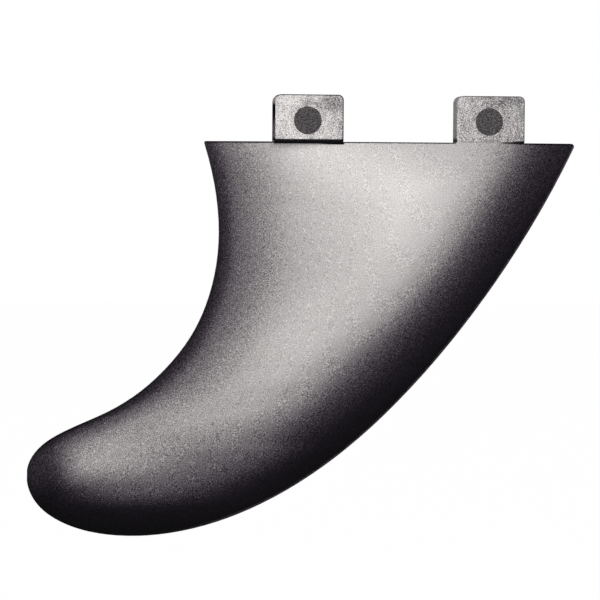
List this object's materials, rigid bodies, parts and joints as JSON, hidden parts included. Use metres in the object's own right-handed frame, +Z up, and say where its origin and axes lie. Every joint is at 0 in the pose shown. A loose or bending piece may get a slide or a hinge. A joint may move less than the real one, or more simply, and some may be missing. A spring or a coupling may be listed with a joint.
{
  "type": "surfboard side fin",
  "caption": "Swept surfboard side fin with square mounting tabs, foiled on the outer face and flat on the inner face, with a plain round inlay in each tab.",
  "frame": {"origin": "midway between the two tabs, in their mid-plane, on the base face that meets the underside of the board", "axes": "+X forward along the base to the leading edge, +Y across to the flat inner face (the foiled outer face looks along -Y), +Z up out of the base through the tabs, so that the blade hangs along -Z as it does under a board"},
  "size_m": [0.1621, 0.0069, 0.1302],
  "materials": {
    "fin_body": "satin, charcoal with a silver-grey fade over the middle of the faces",
    "tab_disc": "matte dark grey"
  },
  "bodies": {
    "root": {"fin_body": "fin_body", "rear_tab_disc": "tab_disc", "front_tab_disc": "tab_disc"}
  },
  "joints": []
}
